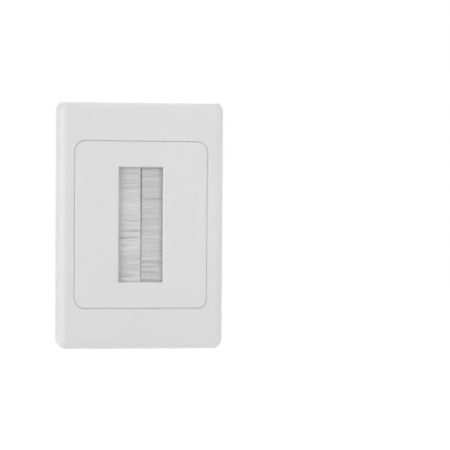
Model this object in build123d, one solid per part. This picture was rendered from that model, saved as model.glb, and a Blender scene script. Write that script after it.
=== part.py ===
"""Brush wall plate: a screwed grid plate, a clip-on surround and two brush strips behind a cable window.

Sizes are in millimetres. Every piece is drawn in plate coordinates: x to the right seen from the front,
y up, and z out of the wall, with z = 0 on the wall. on_wall() stands the plate up at the end, so that
the wall is the plane Y = 0, the front looks along -Y and +Z is up. The origin is midway between the two
fixing slots, on the wall.
"""

from build123d import *
import os
from math import atan2, degrees, sin

# Whole plate
plate_width = 78.0
plate_height = 116.0
plate_depth = 11.0
plate_corner = 4.6
front_rounding = 4.2

# Surround
surround_wall = 1.5
surround_front = 1.8
surround_setback = 0.2
side_draft = 1.0
rib_width = 0.8
rib_half_length = 16.0
rib_height = 0.9
rib_from_edge = 8.7

# Gaps between the surround and the grid plate
side_gap = 2.2
end_gap = 1.2
front_gap = 1.2
panel_gap = 0.1
touch_gap = 0.05
running_gap = 0.2
cut_past = 1.0
edge_tolerance = 0.001

# Lands, snap ridges and fins inside the top and bottom walls of the surround
land_start = 11.5
land_width = 4.9
land_back = 0.6
ridge_height = 0.35
ridge_depth = 1.0
ridge_centre = 4.6
ridge_bevel = 0.28
fin_centre = 19.25
fin_spread = 1.45
fin_width = 0.8
notch_width = 5.8
notch_depth = 0.7
fin_reach = 0.4

# Grid plate
grid_corner = 7.2
rim_side = 2.3
rim_end = 2.0
floor_thickness = 2.0
pry_start = 11.0
pry_end = 24.0
pry_depth = 0.9
pry_ramp = 1.8

# Raised panel and cable window
panel_width = 62.0
panel_height = 77.7
panel_corner = 4.8
panel_thickness = 2.2
groove_edge = 0.4
recess_border = 3.3
recess_corner = 2.1
window_width = 20.7
window_height = 53.7
window_corner = 0.5
window_bevel = 0.6

# Screw slots
fixing_from_end = 16.0
fixing_slot_length = 5.2
fixing_slot_width = 4.1
end_slot_length = 7.2
end_slot_width = 4.3
end_slot_from_edge = 5.55
corner_slot_length = 7.1
corner_slot_width = 3.9
corner_slot_from_side = 12.8
corner_slot_from_end = 10.1

# Screw bosses and ledges at the top and bottom of the pan
fixing_boss_radius = 5.7
corner_boss_radius = 5.9
boss_wall = 1.6
boss_floor = 2.2
ledge_setback = 0.5
ledge_reach = 9.6
ledge_step_reach = 10.7
ledge_step_start = 13.2
lowered_start = 5.3
lowered_by = 1.4
core_from_corner = 8.6
pad_left = 12.3
pad_right = 13.1
pad_outer = 42.8
pad_inner = 35.9
pad_height = 0.4
dash_centre = 8.8
dash_length = 4.0
dash_width = 0.7
dash_from_recess = 2.0
dash_depth = 0.9
nub_radius = 1.6
# Moulding marks on the pan's floor: side, distance outward from the middle of the strip of floor
# between the recess and the rim, height on the plate, and how far the mark stands up
nub_places = [
    (1, 0.15, 39.0, 1.1),
    (1, 0.15, -40.5, 0.7),
    (-1, 0.65, 41.0, 0.4),
    (-1, 0.65, -38.0, 0.7),
    (1, -0.65, -0.4, 0.4),
]

# Brush strip: folded channel, core wire and filaments
channel_mouth_from_window = 0.35
channel_length_over_window = 0.6
channel_width = 3.6
channel_height = 3.2
channel_wall = 0.4
channel_straight = 1.8
mouth_height = 2.4
channel_end_gap = 0.2
wire_diameter = 0.9
wire_gap = 0.05
fold_wall = 0.55
fold_gap = 0.1
fold_half_depth = 0.85
fold_setback = 0.9
seam_gap = 0.3
tuft_half_width = 0.52
tuft_half_depth = 0.72
tuft_edge_half_depth = 0.3
tuft_pitch = 1.1
tip_wander = 0.1
lean_wander = 0.15
# Turn of each wander from one tuft to the next, in radians
tip_turn = 1.7
lean_turn = 0.25

# Seat of the brush strips in the grid plate
seat_gap = 0.6
shelf_height = 2.4
shelf_width = 2.6
relief_radius = 0.6
arm_width = 1.5
arm_start = 8.1
arm_length = 15.1
arm_back = 3.2
barb_reach = 0.9
barb_length = 5.8
barb_start = 12.6
barb_height = 2.2
barb_tip_reach = 0.3
barb_shoulder = 0.55
collar_gap = 0.25
collar_width = 1.6
collar_half_length = 17.8
collar_back = 4.5

# Brush retainer
retainer_width = 3.0
retainer_end_width = 3.15
retainer_back = 3.0
retainer_corner = 0.8
retainer_edge = 0.15
barb_slot_width = 1.4
barb_slot_margin = 0.3
tab_half_height = 3.9
tab_over_channel = 2.25
tab_thickness = 2.0
tab_gap = 0.1
gusset_width = 1.45
gusset_height = 1.0
gusset_from_tip = 2.1
gusset_bite = 0.3

# Sizes worked out from the ones above
half_width = plate_width / 2
half_height = plate_height / 2
cavity_front = plate_depth - surround_front
inner_half_height = half_height - surround_wall
grid_half_width = half_width - surround_wall - side_gap
grid_half_height = inner_half_height - end_gap
floor_front = cavity_front - front_gap
floor_back = floor_front - floor_thickness
pan_half_width = grid_half_width - rim_side
pan_half_height = grid_half_height - rim_end
pan_corner = grid_corner - rim_side
recess_floor = plate_depth - panel_thickness
recess_half_width = panel_width / 2 - recess_border
recess_half_height = panel_height / 2 - recess_border
floor_middle = (recess_half_width + pan_half_width) / 2
fixing_y = half_height - fixing_from_end
end_slot_y = grid_half_height - end_slot_from_edge
corner_slot_x = half_width - corner_slot_from_side
corner_slot_y = half_height - corner_slot_from_end
corner_turn = degrees(atan2(corner_slot_x, corner_slot_y))
mouth_x = window_width / 2 + channel_mouth_from_window
web_x = mouth_x + channel_width
shelf_x = web_x + seat_gap
arm_outer_x = shelf_x + shelf_width
ring_inner_x = arm_outer_x + running_gap
ring_outer_x = ring_inner_x + retainer_width
channel_half_length = window_height / 2 + channel_length_over_window - channel_end_gap
ring_inner_y = channel_half_length + channel_end_gap
ring_outer_y = ring_inner_y + retainer_end_width
strip_z = recess_floor - channel_height / 2
channel_back = recess_floor - channel_height
hook_z = arm_back + barb_height
wire_x = web_x - channel_wall - fold_gap - fold_wall - wire_gap - wire_diameter / 2
fold_bore = wire_diameter / 2 + wire_gap
fold_radius = fold_bore + fold_wall
fold_front_x = mouth_x + fold_setback
brush_half_length = channel_half_length - channel_end_gap


def slab(outline, back, front):
    """A flat outline made solid from one depth to another, both measured out from the wall."""
    return extrude(Pos(0, 0, back) * outline, amount=front - back)


def block(x_low, x_high, y_low, y_high, back, front):
    """A plain bar between two corners."""
    centre = Pos((x_low + x_high) / 2, (y_low + y_high) / 2)
    return slab(centre * Rectangle(x_high - x_low, y_high - y_low), back, front)


def rounded(half_x, half_y, radius):
    return RectangleRounded(2 * half_x, 2 * half_y, radius)


def mirrored_up(shape):
    """The same shape at the top and at the bottom."""
    return [shape, mirror(shape, about=Plane.XZ)]


def mirrored_across(shape):
    """The same shape at the right and at the left."""
    return [shape, mirror(shape, about=Plane.YZ)]


def at_four_corners(shape):
    return [twin for half in mirrored_up(shape) for twin in mirrored_across(half)]


def on_wall(shape, label):
    """Stand a piece up from plate coordinates and name it."""
    placed = Plane.XZ.location * shape
    placed.label = label
    return placed


def front_edges(shape, depth):
    return shape.edges().filter_by_position(Axis.Z, depth - edge_tolerance, depth + edge_tolerance)


def make_surround():
    """The clip-on frame: a drafted shell with a rounded front edge, open at the back and at the panel."""
    outside = rounded(half_width, half_height, plate_corner)
    shell_height = plate_depth - surround_setback
    shell = extrude(Pos(0, 0, surround_setback) * outside, amount=shell_height, taper=side_draft)
    shell = fillet(front_edges(shell, plate_depth), front_rounding)

    inner_corner = plate_corner - surround_wall
    inside = rounded(half_width - surround_wall, inner_half_height, inner_corner)
    cavity = slab(inside, surround_setback - cut_past, cavity_front)
    cavity = fillet(front_edges(cavity, cavity_front), front_rounding - surround_wall)

    opening = rounded(panel_width / 2 + panel_gap, panel_height / 2 + panel_gap, panel_corner + panel_gap)
    frame = shell - cavity - slab(opening, floor_back, plate_depth + front_gap)
    hole_rim = front_edges(frame, plate_depth).filter_by_position(
        Axis.X, -panel_width / 2 - groove_edge, panel_width / 2 + groove_edge
    ).filter_by_position(Axis.Y, -panel_height / 2 - groove_edge, panel_height / 2 + groove_edge)
    frame = chamfer(hole_rim, groove_edge)

    fittings = []
    rib_y = half_height - rib_from_edge
    rib = block(-rib_half_length, rib_half_length, rib_y - rib_width / 2, rib_y + rib_width / 2,
                cavity_front - rib_height, cavity_front + running_gap)
    fittings += mirrored_up(rib)

    wall_bite = inner_half_height + surround_wall / 2
    land_end = land_start + land_width
    land = block(land_start, land_end, grid_half_height + touch_gap, wall_bite, land_back, cavity_front)
    fittings += at_four_corners(land)
    ridge = block(land_start + ridge_depth, land_end - ridge_depth,
                  grid_half_height - ridge_height, grid_half_height + end_gap / 2,
                  ridge_centre - ridge_depth / 2, ridge_centre + ridge_depth / 2)
    ridge = chamfer(ridge.edges().filter_by(Axis.X).group_by(Axis.Y)[0], ridge_bevel)
    fittings += at_four_corners(ridge)
    for side in (-1, 1):
        fin_x = fin_centre + side * fin_spread
        fin = block(fin_x - fin_width / 2, fin_x + fin_width / 2, grid_half_height - fin_reach, wall_bite,
                    land_back, cavity_front)
        fittings += at_four_corners(fin)
    return on_wall(frame + [fitting & shell for fitting in fittings], "surround")


def corner_slot_place():
    return Pos(corner_slot_x, corner_slot_y) * Rot(0, 0, -corner_turn)


def end_ledge():
    """The raised ledge at the top of the pan, with its step, its lowered part and the slope below it."""
    low = pan_half_height - ledge_reach + rim_end
    step_low = pan_half_height - ledge_step_reach + rim_end
    rim_bite = grid_half_height - rim_end / 2
    side_bite = grid_half_width - rim_side / 2
    ledge_back = ledge_setback
    main = block(-corner_slot_x, ledge_step_start, low, rim_bite, ledge_back, floor_front)
    step = block(ledge_step_start, corner_slot_x, step_low, rim_bite, ledge_back, floor_front)
    lowered = block(-corner_slot_x - cut_past, -lowered_start, low - cut_past, pan_half_height,
                    0, ledge_back + lowered_by)

    boss_length = corner_slot_length - corner_slot_width + 2 * corner_boss_radius
    corner = SlotOverall(boss_length, 2 * corner_boss_radius)
    corner_boss = slab(corner_slot_place() * corner, ledge_back, floor_front)
    corner_fill = block(corner_slot_x, side_bite, corner_slot_y, rim_bite, ledge_back, floor_front)
    corners = mirrored_across(corner_boss + corner_fill)
    fixing_boss = slab(Pos(0, fixing_y) * Circle(fixing_boss_radius), 0, floor_front)

    slope = Polyline(
        (0, low, ledge_back),
        (0, low, floor_front),
        (0, pad_outer, floor_front),
        (0, pad_outer, floor_back - pad_height),
        close=True,
    )
    wedge = extrude(Pos(-pad_left, 0, 0) * make_face(slope), amount=pad_left + pad_right, dir=(1, 0, 0))
    pad = block(-pad_left, pad_right, pad_inner, pad_outer, floor_back - pad_height, floor_front)
    ledge = (main - lowered) + step + corners + fixing_boss + wedge + pad
    outline = slab(rounded(grid_half_width - rim_side / 2, grid_half_height - rim_end / 2,
                           grid_corner - rim_side / 2), 0, floor_front)
    return ledge & outline


def end_cups():
    """Cups opened from the front round the screw slots, and the cores that keep the ledge thin."""
    cup_back = boss_floor
    cup_front = floor_front + front_gap / 2
    corner_cup = corner_slot_length - corner_slot_width + 2 * (corner_boss_radius - boss_wall)
    corner = slab(corner_slot_place() * SlotOverall(corner_cup, 2 * (corner_boss_radius - boss_wall)),
                  cup_back, cup_front)
    fixing = slab(Pos(0, fixing_y) * Circle(fixing_boss_radius - boss_wall), cup_back, cup_front)
    low = pan_half_height - ledge_reach + rim_end + boss_wall
    high = pan_half_height - boss_wall / 2
    core_end = corner_slot_x - core_from_corner
    core = block(boss_wall - lowered_start, core_end, low, high, cup_back, cup_front)
    lowered_core = block(-core_end, 0, low, high, cup_back + lowered_by, cup_front)
    return mirrored_across(corner) + [fixing, core, lowered_core]


def screw_slots():
    corner = slab(corner_slot_place() * SlotOverall(corner_slot_length, corner_slot_width),
                  -cut_past, floor_front)
    fixing = slab(Pos(0, fixing_y) * SlotOverall(fixing_slot_length, fixing_slot_width),
                  -cut_past, floor_front)
    end = slab(Pos(0, end_slot_y) * SlotOverall(end_slot_length, end_slot_width), -cut_past, floor_front)
    return mirrored_across(corner) + [fixing, end]


def pry_notch():
    """A shallow notch across the pan's rim, with a ramp at each end, where a screwdriver goes in."""
    outline = Polyline(
        (0, pry_start, -cut_past),
        (0, pry_start, 0),
        (0, pry_start + pry_ramp, pry_depth),
        (0, pry_end - pry_ramp, pry_depth),
        (0, pry_end, 0),
        (0, pry_end, -cut_past),
        close=True,
    )
    length = rim_side + 2 * cut_past
    return extrude(Pos(pan_half_width - cut_past, 0, 0) * make_face(outline), amount=length, dir=(1, 0, 0))


def strip_seat():
    """What holds the strips and the retainer: shelves, spring arms with barbs, and the end collars."""
    shelf = block(shelf_x, arm_outer_x, -channel_half_length, channel_half_length,
                  recess_floor - shelf_height, recess_floor)
    relief_place = Pos(shelf_x + relief_radius / 2, channel_half_length - relief_radius / 2)
    relief = slab(relief_place * Circle(relief_radius), 0, recess_floor)
    shelf = shelf - mirrored_up(relief)
    arm_inner_x = arm_outer_x - arm_width
    arm = block(arm_inner_x, arm_outer_x, arm_start, arm_start + arm_length, arm_back, recess_floor)
    barb_end = barb_start + barb_length
    barb_outline = Polyline(
        (arm_outer_x - arm_width / 2, barb_start, arm_back),
        (arm_outer_x + barb_tip_reach, barb_start, arm_back),
        (arm_outer_x + barb_reach, barb_start, hook_z - barb_shoulder),
        (arm_outer_x + barb_reach, barb_start, hook_z),
        (arm_outer_x - arm_width / 2, barb_start, hook_z),
        close=True,
    )
    barb = extrude(make_face(barb_outline), amount=barb_end - barb_start, dir=(0, 1, 0))
    collar_low = ring_outer_y + collar_gap
    collar = block(-collar_half_length, collar_half_length, collar_low, collar_low + collar_width,
                   collar_back, recess_floor)
    return mirrored_across(shelf) + at_four_corners(arm + barb) + mirrored_up(collar)


def make_grid_plate():
    """The screwed plate: a pan with a raised front panel, one moulding."""
    body = slab(rounded(grid_half_width, grid_half_height, grid_corner), 0, floor_front)
    body -= slab(rounded(pan_half_width, pan_half_height, pan_corner), -cut_past, floor_back)
    body += mirrored_up(end_ledge())

    panel = slab(rounded(panel_width / 2, panel_height / 2, panel_corner), floor_back, plate_depth)
    panel = chamfer(front_edges(panel, plate_depth), groove_edge)
    recess = slab(rounded(recess_half_width, recess_half_height, recess_corner), -cut_past, recess_floor)
    body = body + panel - recess
    body += strip_seat()

    window = slab(rounded(window_width / 2, window_height / 2, window_corner),
                  recess_floor - cut_past, plate_depth + cut_past)
    body -= window
    mouth = front_edges(body, plate_depth).filter_by_position(
        Axis.X, -window_width, window_width).filter_by_position(
        Axis.Y, -window_height / 2 - window_bevel, window_height / 2 + window_bevel)
    body = chamfer(mouth, window_bevel)

    cuts = []
    for cut in end_cups() + screw_slots():
        cuts += mirrored_up(cut)
    dash_low = recess_half_height + dash_from_recess - dash_width / 2
    dash = block(dash_centre - dash_length / 2, dash_centre + dash_length / 2,
                 dash_low, dash_low + dash_width, 0, floor_back - pad_height + dash_depth)
    cuts += at_four_corners(dash)

    notch = block(fin_centre - notch_width / 2, fin_centre + notch_width / 2,
                  grid_half_height - notch_depth, grid_half_height + cut_past,
                  -cut_past, floor_front + cut_past)
    cuts += at_four_corners(notch)
    groove_depth = ridge_depth + 2 * running_gap
    groove_start = land_start + ridge_depth - running_gap
    groove = block(groove_start, 2 * land_start + land_width - groove_start,
                   grid_half_height - ridge_height - running_gap, grid_half_height + cut_past,
                   ridge_centre - groove_depth / 2, ridge_centre + groove_depth / 2)
    cuts += at_four_corners(groove)
    cuts += at_four_corners(pry_notch())
    body -= cuts

    marks = []
    for side, outward, y, rise in nub_places:
        spot = Pos(side * (floor_middle + outward), y)
        marks.append(slab(spot * Circle(nub_radius), floor_back - rise, floor_front))
    return on_wall(body + marks, "grid_plate")


def make_retainer():
    """The frame over the brush strips: a ring with four barb slots and two tabs that reach in."""
    ring = slab(rounded(ring_outer_x, ring_outer_y, retainer_corner), retainer_back, recess_floor)
    ring -= slab(Rectangle(2 * ring_inner_x, 2 * ring_inner_y), retainer_back - cut_past,
                 recess_floor + cut_past)
    ring = chamfer(front_edges(ring, retainer_back), retainer_edge)
    slot = block(ring_inner_x - cut_past, ring_inner_x + barb_slot_width, barb_start - barb_slot_margin,
                 barb_start + barb_length + barb_slot_margin, retainer_back - cut_past, hook_z + tab_gap)
    ring -= at_four_corners(slot)

    tab_front = channel_back - tab_gap
    tab_inner_x = web_x - tab_over_channel
    tab = block(tab_inner_x, ring_inner_x + retainer_width / 2, -tab_half_height, tab_half_height,
                tab_front - tab_thickness, tab_front)
    tab_back = tab_front - tab_thickness
    root_x = ring_inner_x + gusset_bite
    root = Polyline(
        (root_x, 0, tab_back + gusset_bite),
        (root_x, 0, tab_back - gusset_height),
        (root_x, -gusset_width, tab_back),
        (root_x, -gusset_width, tab_back + gusset_bite),
        close=True,
    )
    gusset = loft([make_face(root), Vertex(tab_inner_x + gusset_from_tip, 0, tab_back + gusset_bite)])
    return on_wall(ring + mirrored_across(tab + gusset), "brush_retainer")


def channel_outline(clear):
    """The right channel's section with its mouth towards the middle, drawn in by a clearance."""
    half = channel_height / 2 - clear
    mouth_half = mouth_height / 2 - clear
    straight_x = web_x - channel_straight
    return Polyline(
        (web_x - clear, 0, strip_z - half),
        (straight_x, 0, strip_z - half),
        (mouth_x, 0, strip_z - mouth_half),
        (mouth_x, 0, strip_z + mouth_half),
        (straight_x, 0, strip_z + half),
        (web_x - clear, 0, strip_z + half),
        close=True,
    )


def make_channel():
    """A strip of aluminium folded to a U and pinched at its mouth, for the right side."""
    length = 2 * channel_half_length
    outer = extrude(make_face(channel_outline(0)), amount=length, dir=(0, 1, 0))
    inner = extrude(make_face(channel_outline(channel_wall)), amount=length, dir=(0, 1, 0))
    mouth = block(mouth_x - cut_past, mouth_x + channel_wall, 0, length,
                  strip_z - mouth_height / 2 + channel_wall, strip_z + mouth_height / 2 - channel_wall)
    return Pos(0, -channel_half_length, 0) * (outer - inner - mouth)


def strip_section():
    """The plane across the lower end of the right strip, centred on its core wire."""
    return Plane(origin=(wire_x, -brush_half_length, strip_z), x_dir=(1, 0, 0), z_dir=(0, 1, 0))


def make_bristles():
    """Filaments folded round the wire like hairpins, then gathered in tufts up to the seam, right side."""
    fold_length = wire_x - fold_front_x
    hairpin = Circle(fold_radius) + Pos(-fold_length / 2, 0) * Rectangle(fold_length, 2 * fold_half_depth)
    brush = extrude(strip_section() * (hairpin - Circle(fold_bore)), amount=2 * brush_half_length)
    section = Polyline(
        (-tuft_half_width, -tuft_edge_half_depth),
        (0, -tuft_half_depth),
        (tuft_half_width, -tuft_edge_half_depth),
        (tuft_half_width, tuft_edge_half_depth),
        (0, tuft_half_depth),
        (-tuft_half_width, tuft_edge_half_depth),
        close=True,
    )
    root_x = fold_front_x + wire_gap
    reach = brush_half_length - tuft_half_width - lean_wander
    count = int(2 * reach / tuft_pitch) + 1
    tufts = []
    for index in range(count):
        y = (index - (count - 1) / 2) * tuft_pitch
        lean = lean_wander * sin(lean_turn * index)
        tip = seam_gap / 2 + tip_wander * (1 + sin(tip_turn * index))
        run = Vector(tip, y + lean, strip_z) - Vector(root_x, y, strip_z)
        place = Plane(origin=(root_x, y, strip_z), x_dir=(run.Y, -run.X, 0), z_dir=run)
        tufts.append(extrude(place * make_face(section), amount=run.length))
    return brush + tufts


def make_wire():
    return extrude(strip_section() * Circle(wire_diameter / 2), amount=2 * brush_half_length)


def pair(shape, name):
    """The right piece and its mirror image on the left."""
    right, left = mirrored_across(shape)
    return [on_wall(right, name + "_right"), on_wall(left, name + "_left")]


def main():
    pieces = [make_surround(), make_grid_plate(), make_retainer()]
    pieces += pair(make_channel(), "channel")
    pieces += pair(make_bristles(), "bristles")
    pieces += pair(make_wire(), "core_wire")
    os.makedirs("parts", exist_ok=True)
    for piece in pieces:
        export_step(piece, f"parts/{piece.label}.step")
        print(piece.label, round(piece.volume, 1), len(piece.solids()))


main()
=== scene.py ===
"""The looks of the brush wall plate: moulded white plastic, folded aluminium channels and two rows of
nylon filaments that meet in the cable window.

Lengths are in metres. The plate stands on the wall plane Y = 0 with its front towards -Y and +Z up.
"""

from math import cos, pi, radians, sin
from random import Random

import bmesh
import bpy
from mathutils import Matrix, Quaternion, Vector


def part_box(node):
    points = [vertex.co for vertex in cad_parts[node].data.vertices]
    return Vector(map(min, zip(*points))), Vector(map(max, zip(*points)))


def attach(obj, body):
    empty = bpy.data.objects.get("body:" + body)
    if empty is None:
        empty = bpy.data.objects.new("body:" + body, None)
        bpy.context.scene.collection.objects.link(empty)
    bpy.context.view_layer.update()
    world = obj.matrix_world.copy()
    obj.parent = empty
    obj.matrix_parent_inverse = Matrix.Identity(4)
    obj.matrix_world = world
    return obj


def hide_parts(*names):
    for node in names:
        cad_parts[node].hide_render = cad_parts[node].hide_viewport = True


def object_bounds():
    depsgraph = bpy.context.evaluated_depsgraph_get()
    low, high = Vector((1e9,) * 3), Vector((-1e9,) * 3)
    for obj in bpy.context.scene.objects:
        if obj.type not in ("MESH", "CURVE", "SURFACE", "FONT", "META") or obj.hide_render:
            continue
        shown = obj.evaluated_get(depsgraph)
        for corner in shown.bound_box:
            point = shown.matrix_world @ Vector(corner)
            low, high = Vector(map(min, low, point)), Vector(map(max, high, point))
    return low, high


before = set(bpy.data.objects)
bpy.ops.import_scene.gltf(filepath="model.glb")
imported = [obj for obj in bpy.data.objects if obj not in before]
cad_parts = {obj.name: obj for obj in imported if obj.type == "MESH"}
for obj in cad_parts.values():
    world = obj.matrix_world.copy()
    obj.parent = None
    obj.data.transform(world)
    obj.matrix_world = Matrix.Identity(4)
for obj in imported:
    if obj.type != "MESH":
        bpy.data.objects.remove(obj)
cad_box = [list(corner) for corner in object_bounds()]

MM = 0.001
BLACK = (0, 0, 0)
WHITE = (1, 1, 1)

# The strips, and the side of the plate's middle on which each stands
sides = {"right": 1, "left": -1}

# White plastic
white_tones = ((0.752, 0.752, 0.752), (0.776, 0.776, 0.776))
edge_rounding = 0.18 * MM
peel_depth = 0.02 * MM

# Aluminium. Its outer edge is painted darker for the shade of the seat it lies in, and its sloped lips
# carry a painted highlight.
aluminium_grey = 0.15
lip_painted_highlight = 0.105
lip_reach = (11.9 * MM, 12.5 * MM)
edge_shade = 0.7
edge_reach = (13.7 * MM, 14.2 * MM)
rolling_depth = 0.01 * MM

# Nylon: the darker and lighter grey of each strip
nylon_greys = {"right": (0.71, 0.84), "left": (0.76, 0.90)}
# Painted shade: how much darker the rear legs of each strip are painted
rear_painted_shade = {"right": 0.16, "left": 0.0}
# Where in the noise each strip finds its streaks
streak_place = {"right": 0.11, "left": 0.29}
front_streak = 0.19
# The front legs are painted darker towards the channels, as painted shade for the shadow that the window's
# edges cast on them
window_painted_shade = 0.09
window_shade_reach = (8.0 * MM, 10.3 * MM)
# Painted shade: the tips on the slit's floor are painted darker, for the shade in the slit
slit_shade = 0.75
slit_shade_reach = (0.32 * MM, 0.55 * MM)

# Steel
steel_tones = ((0.46, 0.46, 0.47), (0.64, 0.64, 0.65))

# Filaments, each folded round the core wire like a hairpin
filament_radius = 0.085 * MM
filament_sides = 4
hairpins_per_strip = 2150
strip_seed = 17
fold_steps = 3
fold_radius = (0.53 * MM, 1.0 * MM)
middle_fold_radius = sum(fold_radius) / 2
# Where a leg bends, from its fold, and how short its last piece is. That piece alone takes the turn of
# the smooth shading round the cut end.
leg_bends = (2.4 * MM, 6.5 * MM)
tip_piece = 0.08 * MM
end_clearance = 0.10 * MM

# How the legs lie in the strip. They are pinched behind the channel's mouth, where the strip has a share
# of its thickness, and open out over the splay run.
pinched_half_depth = (0.04 * MM, 0.68 * MM)
pinch_run = 1.7 * MM
mouth_share = 0.25
splay_run = 5.0 * MM
# Below 1, more filaments lie near the two faces of a strip than in its middle
surface_crowding = 0.7

# The slit where the strips meet. Every front leg stops short there, and so does the rear leg of a filament
# that lies nearer its strip's middle than the floor. The next layer of rear legs shows at the bottom.
seam_x = 0.2 * MM
front_slit_bottom = 0.22 * MM
front_slit_top = 0.40 * MM
rear_slit = 0.04 * MM
slit_floor = 0.32 * MM
slit_floor_layer = 0.50 * MM
tip_scatter = 0.04 * MM
# How far each strip's front and rear tips move towards the back
tip_shift = {"right": (-0.05 * MM, -0.25 * MM), "left": (-0.40 * MM, 0.15 * MM)}

# Combing. Filaments that lie further from their strip's middle than the surface layer gather in clumps.
# A lean is how far a leg climbs, as a share of its length.
surface_layer = 0.40 * MM
clump_width = (0.7 * MM, 2.8 * MM)
clump_lean = 0.013
clump_depth = 0.05 * MM
comb_lean = 0.014
comb_wave = 9.0 * MM
stray_lean = 0.010
bow = 0.10 * MM
# Clumps that lean on their own: strip, height of the root, lean towards the tip
leaning_clumps = [("left", 24.4 * MM, 0.10), ("left", 22.6 * MM, -0.05), ("right", -25.0 * MM, 0.08)]

# Camera, as the front picture was taken, with angles in degrees and the sensor's width in millimetres
view_azimuth = -9.33
view_elevation = 0.12
view_roll = 0.305
view_distance = 1.0
view_aim = Vector((39.83, -9.0, 0.11)) * MM
focal_pixels = 2132
frame_pixels = 450
sensor_width = 36.0
nearest_seen = 0.01
furthest_seen = 20

# The room's even light, in front of the plate and behind it
front_ambient = 0.21
back_ambient = 0.0
room_blend = 0.4
# Soft boxes, all of one size: name, where each stands and its strength
soft_box_size = 1.1
soft_boxes = [
    ("front_high", (0.0, -1.6, 2.3), 0.155),
    ("front_left", (-2.0, -1.8, 0.3), 0.24),
    ("front_right", (0.7, -0.62, 0.1), 0.325),
    ("front_side", (-2.7, -0.5, 0.2), 0.225),
    ("front_top", (0.0, -0.6, 2.8), 0.185),
    ("back_high", (0.0, 1.6, 2.3), 0.645),
    ("back_side", (2.7, 0.5, 0.2), 0.115),
    ("back_right", (-2.0, 1.8, 0.3), 0.035),
]

# Floor. The shade is the share of the real floor that the eye still sees, with its shadow.
floor_drop = 45 * MM
floor_size = 5.6
floor_grey = 0.93
floor_shade = 0.2
floor_glow = 1.14


class Value:
    """A shader socket that takes part in Python sums. Each operator adds one Math node."""

    def __init__(self, nodes, socket):
        self.nodes = nodes
        self.socket = socket

    def maths(self, operation, first, second=0.0):
        return self.nodes.node("Math", {"operation": operation}, {0: first, 1: second})

    def __add__(self, other):
        return self.maths("ADD", self, other)

    def __sub__(self, other):
        return self.maths("SUBTRACT", self, other)

    def __rsub__(self, other):
        return self.maths("SUBTRACT", other, self)

    def __mul__(self, other):
        return self.maths("MULTIPLY", self, other)

    def __or__(self, other):
        return self.maths("MAXIMUM", self, other)

    def __abs__(self):
        return self.maths("ABSOLUTE", self)

    __radd__ = __add__
    __rmul__ = __mul__


class Nodes:
    """The node tree of a material or of the world."""

    def __init__(self, owner):
        owner.use_nodes = True
        self.tree = owner.node_tree

    def feed(self, socket, given):
        if isinstance(given, Value):
            self.tree.links.new(given.socket, socket)
        else:
            socket.default_value = given

    def node(self, kind, settings, sockets, result=0):
        """A node of that kind. Its settings come first, then the values or links of its sockets."""
        made = self.tree.nodes.new("ShaderNode" + kind)
        for name, setting in settings.items():
            setattr(made, name, setting)
        for name, given in sockets.items():
            self.feed(made.inputs[name], given)
        return Value(self, made.outputs[result])

    def background_seen(self):
        """1 where the eye, a reflection or a clear piece sees the background, 0 where it gives light."""
        eye = self.node("LightPath", {}, {}, "Is Camera Ray")
        rays = eye.socket.node.outputs
        return eye | Value(self, rays["Is Glossy Ray"]) | Value(self, rays["Is Transmission Ray"])


class Finish(Nodes):
    """One material being built: a Principled surface and the nodes that feed it."""

    def __init__(self, name):
        self.material = bpy.data.materials.new(name)
        super().__init__(self.material)
        self.surface = self.tree.nodes["Principled BSDF"]
        self.output = self.tree.nodes["Material Output"]

    def set(self, **sockets):
        """Values or links for the surface's sockets, with an underscore for a space in a name."""
        for name, given in sockets.items():
            self.feed(self.surface.inputs[name.replace("_", " ")], given)

    def place(self, stretch=(1, 1, 1), shift=(0, 0, 0)):
        """The surface point in the plate's own frame, stretched and then shifted."""
        here = self.node("TexCoord", {}, {}, "Object")
        return self.node("Mapping", {"vector_type": "POINT"},
                         {"Vector": here, "Scale": stretch, "Location": shift})

    def from_middle(self, middle=0.0):
        """How far the surface point stands from the plate's middle, or from another line, along X."""
        across = self.node("SeparateXYZ", {}, {0: self.place()}, "X")
        return abs(across - middle)

    def marked(self, name):
        """The number that the mesh keeps under that name, or 0 where it keeps none."""
        return self.node("Attribute", {"attribute_name": name}, {}, "Fac")

    def grain(self, point, waves, detail=2.0, roughness=0.5):
        """Noise from 0 to 1 about 0.5, with that many waves in a metre."""
        return self.node("TexNoise", {}, {"Vector": point, "Scale": waves, "Detail": detail,
                                          "Roughness": roughness})

    def rise(self, value, low, high):
        """A value's smooth rise from 0 to 1 between two levels."""
        return self.node("MapRange", {"interpolation_type": "SMOOTHSTEP"},
                         {"Value": value, "From Min": low, "From Max": high})

    def bump(self, height, depth, strength, **sockets):
        """A skin whose normal follows a height. The depth is what a height of 1 stands for."""
        return self.node("Bump", {}, {"Strength": strength, "Distance": depth, "Height": height, **sockets})

    def shade(self, share, dark, light):
        """A colour between two, by a share from 0 to 1. Sockets 6 and 7 are the node's two colours."""
        return self.node("Mix", {"data_type": "RGBA"}, {"Factor": share, 6: (*dark, 1), 7: (*light, 1)}, 2)

    def as_colour(self, grey):
        """A colour from a grey between 0 and 1."""
        return self.shade(grey, BLACK, WHITE)


def white_plastic():
    """Satin white plastic: a faint cloud in the colour, polish that varies, and moulded orange peel."""
    finish = Finish("white_plastic")
    here = finish.place()
    cloud = finish.grain(here, waves=38, detail=3.0)
    peel = finish.grain(here, waves=950)
    pore = finish.grain(here, waves=4200, detail=1.0)
    polish = finish.grain(here, waves=130, detail=4.0, roughness=0.6)
    rounded = finish.node("Bevel", {"samples": 4}, {"Radius": edge_rounding})
    skin = finish.bump(peel + pore * 0.3, peel_depth, strength=0.22, Normal=rounded)
    finish.set(Base_Color=finish.shade(cloud, *white_tones), Roughness=0.27 + 0.16 * polish,
               Normal=skin, IOR=1.49)
    return finish.material


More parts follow.
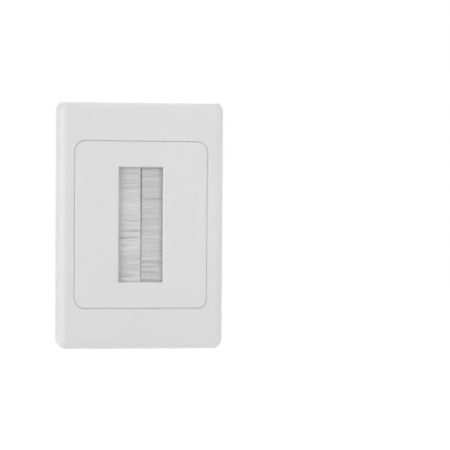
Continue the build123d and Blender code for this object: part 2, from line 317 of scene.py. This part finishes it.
def folded_aluminium():
    """Rolled aluminium strip: streaks along the fold, with duller patches."""
    finish = Finish("folded_aluminium")
    streak = finish.grain(finish.place(stretch=(1, 1, 0.03)), waves=9000, detail=3.0, roughness=0.6)
    patch = finish.grain(finish.place(), waves=240, detail=3.0)
    # Painted highlight on the sloped lips and painted shade at the outer edge, where the seat's shadow
    # falls
    lip = 1 - finish.rise(finish.from_middle(), *lip_reach)
    edge = finish.rise(finish.from_middle(), *edge_reach)
    metal = streak * 0.10 + patch * 0.06 + aluminium_grey + lip * lip_painted_highlight
    finish.set(Base_Color=finish.as_colour(metal * (1 - edge * edge_shade)), Metallic=1.0,
               Roughness=0.30 + 0.22 * patch, Normal=finish.bump(streak, rolling_depth, strength=0.25))
    return finish.material


def nylon_bristle(strip):
    """Pale nylon: every filament a little lighter or darker than the next, with dark streaks in front."""
    finish = Finish("nylon_bristle_" + strip)
    shift = (0, 0, streak_place[strip])
    strand = finish.grain(finish.place(stretch=(0.02, 0.35, 1)), waves=2600, roughness=0.7)
    clump = finish.grain(finish.place(stretch=(0.05, 0.4, 1), shift=shift), waves=420)
    streak = finish.grain(finish.place(stretch=(0.06, 0.4, 1), shift=shift), waves=900, detail=3.0)
    front = finish.marked("front_leg")
    # Painted shade on the front legs beside the window's edges
    window_shaded = front * finish.rise(finish.from_middle(), *window_shade_reach)
    streaked = front * finish.rise(streak, low=0.53, high=0.70)
    # Painted shade on the tips that form the slit's floor
    by_seam = 1 - finish.rise(finish.from_middle(seam_x), *slit_shade_reach)
    in_slit = finish.marked("slit_floor_leg") * by_seam
    dark, light = nylon_greys[strip]
    tone = finish.rise(strand * 0.55 + clump * 0.45, low=0.32, high=0.68)
    grey = tone * (light - dark) + dark
    grey = grey * (1 - window_shaded * window_painted_shade) * (1 - in_slit * slit_shade)
    # Painted shade on the rear legs of a strip
    grey = grey * (1 - streaked * front_streak) * (1 - (1 - front) * rear_painted_shade[strip])
    finish.set(Base_Color=finish.as_colour(grey), Roughness=0.38 + 0.2 * strand, IOR=1.53)
    return finish.material


def steel_wire():
    """Drawn steel wire with fine lines along it."""
    finish = Finish("steel_wire")
    drawn = finish.grain(finish.place(stretch=(1, 1, 0.04)), waves=12000)
    finish.set(Base_Color=finish.shade(drawn, *steel_tones), Metallic=1.0, Roughness=0.26 + 0.2 * drawn)
    return finish.material


def paint(piece, material):
    piece.data.materials.clear()
    piece.data.materials.append(material)


def mark(mesh, name, values):
    """Keep one number for each vertex of a mesh, for its material to read."""
    mesh.attributes.new(name, "FLOAT", "POINT").data.foreach_set("value", values)


def mesh_from(bm, name):
    mesh = bpy.data.meshes.new(name)
    bm.to_mesh(mesh)
    bm.free()
    return mesh


def placed(name, data):
    """A new object in the scene, at the origin and unturned."""
    made = bpy.data.objects.new(name, data)
    bpy.context.scene.collection.objects.link(made)
    return made


def smoothstep(low, high, value):
    share = min(1.0, max(0.0, (value - low) / (high - low)))
    return share * share * (3 - 2 * share)


def swept_hairpin(leg):
    """One filament folded round the wire, which runs along Z through the origin, with its tips at -X."""
    bm = bmesh.new()
    bmesh.ops.create_circle(bm, cap_ends=True, segments=filament_sides, radius=filament_radius)
    bmesh.ops.rotate(bm, verts=bm.verts, matrix=Matrix.Rotation(pi / 2, 3, "Y"))
    bmesh.ops.translate(bm, verts=bm.verts, vec=(-leg, -middle_fold_radius, 0))

    def run(end, stations):
        for start, stop in zip(stations, stations[1:]):
            grown = bmesh.ops.extrude_face_region(bm, geom=[end])["geom"]
            end = next(item for item in grown if isinstance(item, bmesh.types.BMFace))
            bmesh.ops.translate(bm, verts=end.verts, vec=(start - stop, 0, 0))
        return end

    stations = [0, *leg_bends, leg - tip_piece, leg]
    end = run(bm.faces[:][0], stations[::-1])
    turned = bmesh.ops.spin(bm, geom=[end], axis=(0, 0, 1), cent=(0, 0, 0), angle=pi, steps=fold_steps,
                            use_merge=False)["geom_last"]
    end = next(item for item in turned if isinstance(item, bmesh.types.BMFace))
    run(end, stations)
    inside = [face for face in bm.faces if all(len(edge.link_faces) > 2 for edge in face.edges)]
    bmesh.ops.delete(bm, geom=inside, context="FACES_ONLY")
    bmesh.ops.recalc_face_normals(bm, faces=bm.faces)
    for face in bm.faces:
        is_cut_end = all(vert.co.x < tip_piece / 2 - leg for vert in face.verts)
        face.smooth = not is_cut_end
    return mesh_from(bm, "hairpin")


class Clump:
    """A group of neighbouring filaments, from one height to another, that lean and gather together."""

    def __init__(self, strip, low, high, chance):
        self.high = high
        self.lean = chance.gauss(0, clump_lean)
        self.depth = chance.uniform(-clump_depth, clump_depth)
        for leaning_strip, height, lean in leaning_clumps:
            if leaning_strip == strip and low <= height < high:
                self.lean = lean


class Strip:
    """One brush strip, which takes its place from its core wire. Filaments start between its bottom and its
    top, and no leg leans past the wire's ends."""

    def __init__(self, name):
        low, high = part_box("core_wire_" + name)
        self.side = sides[name]
        self.wire = (low + high) / 2
        self.lowest = low.z + filament_radius
        self.highest = high.z - filament_radius
        self.bottom = low.z + end_clearance
        self.top = high.z - end_clearance
        self.leg = abs(self.wire.x) - self.side * seam_x
        self.front_shift, self.rear_shift = tip_shift[name]
        self.chance = Random(strip_seed + self.side)
        self.clumps = self.clumps_along(name)
        self.phase = self.chance.uniform(0, 2 * pi)

    def clumps_along(self, name):
        """Clumps of uneven width from the bottom of the strip past its top."""
        found = []
        edge = self.bottom
        while edge < self.top:
            width = self.chance.uniform(*clump_width)
            found.append(Clump(name, edge, edge + width, self.chance))
            edge += width
        return found

    def clump_at(self, height):
        return next(clump for clump in self.clumps if height < clump.high)


class Hairpin:
    """Where one filament starts, how deep its legs lie, and how they lean and bow."""

    def __init__(self, strip, index):
        chance = strip.chance
        share = (index + chance.random()) / hairpins_per_strip
        self.root = strip.bottom + (strip.top - strip.bottom) * share
        self.radius = chance.uniform(*fold_radius)
        inner, outer = pinched_half_depth
        self.pinch = inner + (outer - inner) * chance.random() ** surface_crowding
        self.lean = comb_lean * sin(self.root / comb_wave + strip.phase) + chance.gauss(0, stray_lean)
        self.depth = 0.0
        if self.pinch > surface_layer:
            clump = strip.clump_at(self.root)
            self.lean += clump.lean
            self.depth = clump.depth
        self.slit = front_slit_bottom + (front_slit_top - front_slit_bottom) * share
        self.scatter = abs(chance.gauss(0, tip_scatter))
        self.bend = chance.gauss(0, bow)
        self.on_slit_floor = slit_floor < self.pinch < slit_floor_layer

    def combed(self, strip, point):
        """Where a point of the plain hairpin lies once this filament is pinched and combed."""
        x, y, z = point
        on_fold = x > 0
        front = y < 0
        way = -1 if front else 1
        if on_fold:
            x *= self.radius / middle_fold_radius
            y *= self.radius / middle_fold_radius
        else:
            squeeze = smoothstep(0, pinch_run, -x)
            opened = mouth_share + (1 - mouth_share) * smoothstep(pinch_run, pinch_run + splay_run, -x)
            y += way * (self.radius + (self.pinch * opened - self.radius) * squeeze - middle_fold_radius)
            gap = (self.slit if front or self.pinch < slit_floor else rear_slit) + self.scatter
            x *= 1 - gap / strip.leg
        out = max(0.0, -x / strip.leg)
        shift = strip.front_shift if front else strip.rear_shift
        y += self.depth * out * way + shift * out * out
        z += self.root + self.lean * strip.leg * out + self.bend * sin(pi * out)
        z = min(max(z, strip.lowest), strip.highest)
        return strip.wire.x + strip.side * x, strip.wire.y + y, z


def brush_strip(name, material):
    """The filaments of one strip: a hairpin swept once, then copied and combed into clumps."""
    node = "bristles_" + name
    strip = Strip(name)
    plain = swept_hairpin(strip.leg)
    front_leg = []
    slit_floor_leg = []
    bm = bmesh.new()
    for index in range(hairpins_per_strip):
        hairpin = Hairpin(strip, index)
        bm.from_mesh(plain)
        bm.verts.ensure_lookup_table()
        for vert in bm.verts[-len(plain.vertices):]:
            front = vert.co.y < 0
            front_leg.append(float(front))
            slit_floor_leg.append(float(hairpin.on_slit_floor and not front))
            vert.co = hairpin.combed(strip, vert.co)
    if strip.side < 0:
        bmesh.ops.reverse_faces(bm, faces=bm.faces)
    mesh = mesh_from(bm, node + "_filaments")
    mark(mesh, "front_leg", front_leg)
    mark(mesh, "slit_floor_leg", slit_floor_leg)
    piece = placed(node + "_filaments", mesh)
    paint(piece, material)
    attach(piece, "root")
    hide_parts(node)


def dress():
    """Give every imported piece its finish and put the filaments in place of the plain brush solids."""
    plastic = white_plastic()
    aluminium = folded_aluminium()
    nylon = {name: nylon_bristle(name) for name in sides}
    steel = steel_wire()
    finishes = {"surround": plastic, "grid_plate": plastic, "brush_retainer": plastic}
    for name in sides:
        finishes["channel_" + name] = aluminium
        finishes["bristles_" + name] = nylon[name]
        finishes["core_wire_" + name] = steel
    for node, material in finishes.items():
        paint(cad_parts[node], material)
    for name in sides:
        brush_strip(name, nylon[name])


def soft_box(name, place, strength):
    """A lamp that faces the plate's middle. Its strength is the grey that it gives a white card."""
    place = Vector(place)
    data = bpy.data.lights.new(name, "AREA")
    data.size = soft_box_size
    data.energy = strength * pi * pi * place.length_squared
    lamp = placed(name, data)
    lamp.location = place
    lamp.rotation_mode = "QUATERNION"
    lamp.rotation_quaternion = (-place).to_track_quat("-Z", "Y")


def room():
    """A world that gives an even light and looks white."""
    world = bpy.data.worlds.new("studio")
    bpy.context.scene.world = world
    nodes = Nodes(world)
    way = nodes.node("TexCoord", {}, {}, "Generated")
    depth = nodes.node("SeparateXYZ", {}, {0: way}, "Y")
    light = nodes.node("MapRange", {}, {"Value": depth, "From Min": -room_blend, "From Max": room_blend,
                                        "To Min": front_ambient, "To Max": back_ambient})
    seen = nodes.background_seen()
    background = nodes.tree.nodes["Background"]
    background.inputs["Color"].default_value = (*WHITE, 1)
    nodes.feed(background.inputs["Strength"], light * (1 - seen) + seen)


def white_floor():
    """A white floor below the plate, which keeps a little of its shadow."""
    bm = bmesh.new()
    bmesh.ops.create_grid(bm, x_segments=1, y_segments=1, size=floor_size / 2)
    bmesh.ops.translate(bm, verts=bm.verts, vec=(0, 0, cad_box[0][2] - floor_drop))
    floor = placed("floor", mesh_from(bm, "floor"))
    finish = Finish("floor_white")
    finish.set(Base_Color=(floor_grey, floor_grey, floor_grey, 1), Roughness=0.9)
    glow = finish.node("Emission", {}, {"Color": (*WHITE, 1), "Strength": floor_glow})
    share = finish.background_seen() * (1 - floor_shade)
    mixed = finish.node("MixShader", {}, {0: share, 1: Value(finish, finish.surface.outputs[0]), 2: glow})
    finish.feed(finish.output.inputs["Surface"], mixed)
    paint(floor, finish.material)


def place_camera():
    """The camera stands to the left of the plate and looks past its right side, level with its middle."""
    data = bpy.data.cameras.new("camera")
    data.sensor_width = sensor_width
    data.lens = sensor_width * focal_pixels / frame_pixels
    data.clip_start = nearest_seen
    data.clip_end = furthest_seen
    camera = placed("camera", data)
    turn = radians(view_azimuth)
    rise = radians(view_elevation)
    back = Vector((sin(turn) * cos(rise), -cos(turn) * cos(rise), sin(rise)))
    camera.location = view_aim + back * view_distance
    camera.rotation_mode = "QUATERNION"
    roll = Quaternion((0, 0, 1), radians(view_roll))
    camera.rotation_quaternion = (-back).to_track_quat("-Z", "Y") @ roll
    bpy.context.scene.camera = camera


dress()
for box_values in soft_boxes:
    soft_box(*box_values)
room()
white_floor()
place_camera()
bpy.context.scene.view_settings.view_transform = "Standard"
